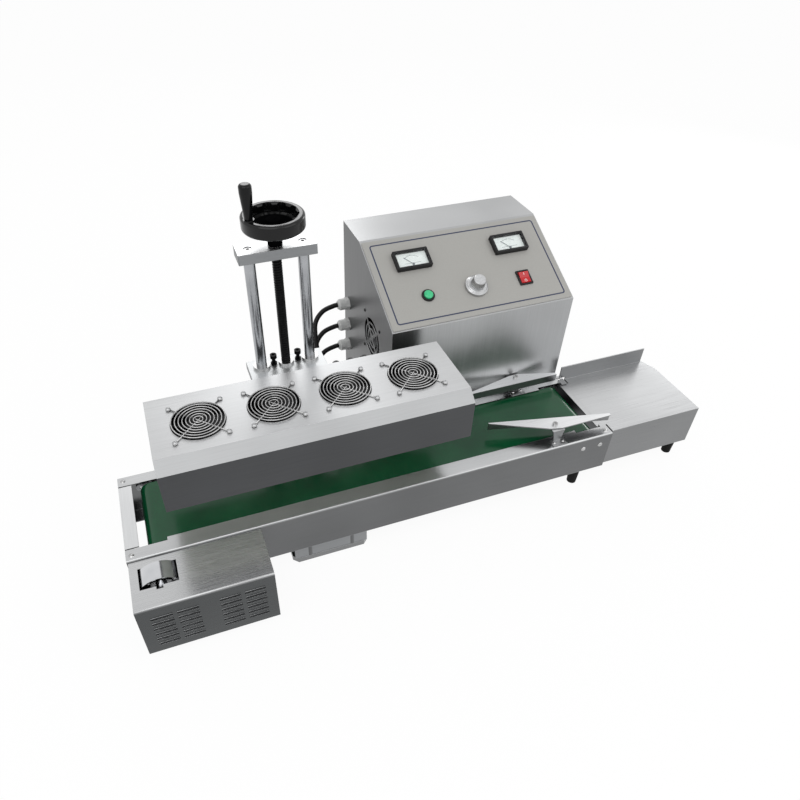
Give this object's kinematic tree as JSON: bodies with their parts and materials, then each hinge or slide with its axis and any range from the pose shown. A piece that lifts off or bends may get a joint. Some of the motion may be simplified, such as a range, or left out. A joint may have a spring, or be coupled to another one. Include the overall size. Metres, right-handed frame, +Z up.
{
  "type": "induction cap sealer",
  "caption": "Bench-top continuous induction cap sealer: belt conveyor, height-adjustable sealing head with fans on a screw stand, control box with sloping panel, run-off table.",
  "frame": {"origin": "on the bench under the middle of the machine's bounding box", "axes": "+X along the belt's travel towards the run-off table, +Y towards the control box, +Z up"},
  "size_m": [0.98, 0.5232, 0.5513],
  "materials": {
    "stainless": "satin brushed",
    "table_steel": "satin brushed",
    "chrome": "polished",
    "aluminium": "machined",
    "rubber": "matte",
    "belt_green": "smooth coated",
    "black_plastic": "moulded",
    "black_gloss": "glossy",
    "black_steel": "black oxide",
    "motor_grey": "satin",
    "nylon": "moulded",
    "panel_grey": "satin",
    "dial_white": "matte",
    "lens": "clear",
    "needle_black": "matte",
    "button_green": "glossy",
    "rocker_red": "glossy",
    "copper": "lacquered wire",
    "ferrite": "matte",
    "coil_board": "smooth",
    "heat_sink": "extruded"
  },
  "bodies": {
    "frame": {"front_rail": "stainless", "back_rail": "stainless", "end_plates": "stainless", "frame_spacers": "stainless", "slider_bed": "stainless", "belt": "belt_green", "roller_bearings": "aluminium", "frame_bolts": "chrome", "feet": "rubber", "guide_posts": "stainless", "extension_table": "table_steel", "drive_box": "stainless", "drive_motor": "motor_grey", "speed_control": "black_plastic", "base_plate": "stainless", "columns": "chrome", "top_plate": "aluminium", "control_box": "stainless", "box_back": "stainless", "control_panel": "panel_grey", "power_module": "heat_sink", "box_fan": "black_plastic", "meter_cases": "black_plastic", "meter_dials": "dial_white", "meter_lenses": "lens", "switch_bodies": "black_plastic", "cable_glands": "nylon", "cable_1": "rubber", "cable_2": "rubber", "cable_3": "rubber"},
    "head": {"carriage": "aluminium", "carriage_bushes": "chrome", "head_screws": "black_steel", "head_housing": "stainless", "coil_plate": "coil_board", "induction_coil": "copper", "ferrite_bars": "ferrite", "fan_frames": "black_plastic", "fan_guards": "chrome", "head_glands": "nylon"},
    "screw": {"lead_screw": "black_steel", "handwheel": "black_gloss"},
    "handle": {"crank_handle": "black_gloss"},
    "drive_roll": {"drive_roller": "chrome"},
    "idler_roll": {"idler_roller": "chrome"},
    "speed_dial": {"speed_wheel": "chrome"},
    "fan_1": {"fan_rotor_1": "black_plastic"},
    "fan_2": {"fan_rotor_2": "black_plastic"},
    "fan_3": {"fan_rotor_3": "black_plastic"},
    "fan_4": {"fan_rotor_4": "black_plastic"},
    "side_fan": {"box_fan_rotor": "black_plastic"},
    "knob": {"power_knob": "chrome"},
    "button": {"push_button": "button_green"},
    "mains_rocker": {"rocker": "rocker_red"},
    "pointer_left": {"needle_left": "needle_black"},
    "pointer_right": {"needle_right": "needle_black"},
    "guide_front": {"guide_plate_front": "stainless"},
    "guide_rear": {"guide_plate_rear": "stainless"}
  },
  "joints": [
    {"name": "head_lift", "type": "slide", "parent": "frame", "child": "head", "axis": [0, 0, 1], "range_m": [-0.06, 0.15], "deforming": ["cable_1", "cable_2", "cable_3"]},
    {"name": "screw_turn", "type": "hinge", "parent": "frame", "child": "screw", "pos_m": [-0.203, 0.01115, 0.46], "axis": [0, 0, 1], "range_deg": [-13600, 5500]},
    {"name": "handle_spin", "type": "hinge", "parent": "screw", "child": "handle", "pos_m": [-0.23647, 0.00092, 0.52], "axis": [0, 0, 1], "continuous": true},
    {"name": "drive_roller_spin", "type": "hinge", "parent": "frame", "child": "drive_roll", "pos_m": [-0.4427, -0.09135, 0.0997], "axis": [0, 1, 0], "continuous": true},
    {"name": "idler_roller_spin", "type": "hinge", "parent": "frame", "child": "idler_roll", "pos_m": [0.2682, -0.09135, 0.0997], "axis": [0, 1, 0], "continuous": true},
    {"name": "speed_wheel_turn", "type": "hinge", "parent": "frame", "child": "speed_dial", "pos_m": [-0.451, -0.20585, 0.0905], "axis": [0, 1, 0], "range_deg": [-135, 135]},
    {"name": "fan_1_spin", "type": "hinge", "parent": "head", "child": "fan_1", "pos_m": [-0.353, -0.09935, 0.26], "axis": [0, 0, 1], "continuous": true},
    {"name": "fan_2_spin", "type": "hinge", "parent": "head", "child": "fan_2", "pos_m": [-0.248, -0.09935, 0.26], "axis": [0, 0, 1], "continuous": true},
    {"name": "fan_3_spin", "type": "hinge", "parent": "head", "child": "fan_3", "pos_m": [-0.143, -0.09935, 0.26], "axis": [0, 0, 1], "continuous": true},
    {"name": "fan_4_spin", "type": "hinge", "parent": "head", "child": "fan_4", "pos_m": [-0.038, -0.09935, 0.26], "axis": [0, 0, 1], "continuous": true},
    {"name": "side_fan_spin", "type": "hinge", "parent": "frame", "child": "side_fan", "pos_m": [-0.02, 0.09015, 0.216], "axis": [1, 0, 0], "continuous": true},
    {"name": "power_knob_turn", "type": "hinge", "parent": "frame", "child": "knob", "pos_m": [0.134, 0.04442, 0.31121], "axis": [0, -0.4483, 0.8939], "range_deg": [-270, 0]},
    {"name": "button_press", "type": "slide", "parent": "frame", "child": "button", "axis": [0, 0.4483, -0.8939], "range_m": [0, 0.003], "stiffness_N_per_m": 400, "springref_m": -0.002},
    {"name": "rocker_tilt", "type": "hinge", "parent": "frame", "child": "mains_rocker", "pos_m": [0.224, 0.04487, 0.31032], "axis": [1, 0, 0], "range_deg": [-16, 0]},
    {"name": "needle_left_swing", "type": "hinge", "parent": "frame", "child": "pointer_left", "pos_m": [0.042, 0.09715, 0.34214], "axis": [0, -0.4483, 0.8939], "range_deg": [-84, 0]},
    {"name": "needle_right_swing", "type": "hinge", "parent": "frame", "child": "pointer_right", "pos_m": [0.222, 0.09715, 0.34214], "axis": [0, -0.4483, 0.8939], "range_deg": [-84, 0]},
    {"name": "guide_front_swing", "type": "hinge", "parent": "frame", "child": "guide_front", "pos_m": [0.2045, -0.14685, 0.144], "axis": [0, 0, 1], "range_deg": [-10, 12]},
    {"name": "guide_rear_swing", "type": "hinge", "parent": "frame", "child": "guide_rear", "pos_m": [0.2045, -0.01385, 0.144], "axis": [0, 0, 1], "range_deg": [0, 15]}
  ],
  "couplings": [
    {"joint": "screw_turn", "follows": "head_lift", "rad_per_m": -1570.8},
    {"joint": "idler_roller_spin", "follows": "drive_roller_spin", "ratio": 1}
  ]
}
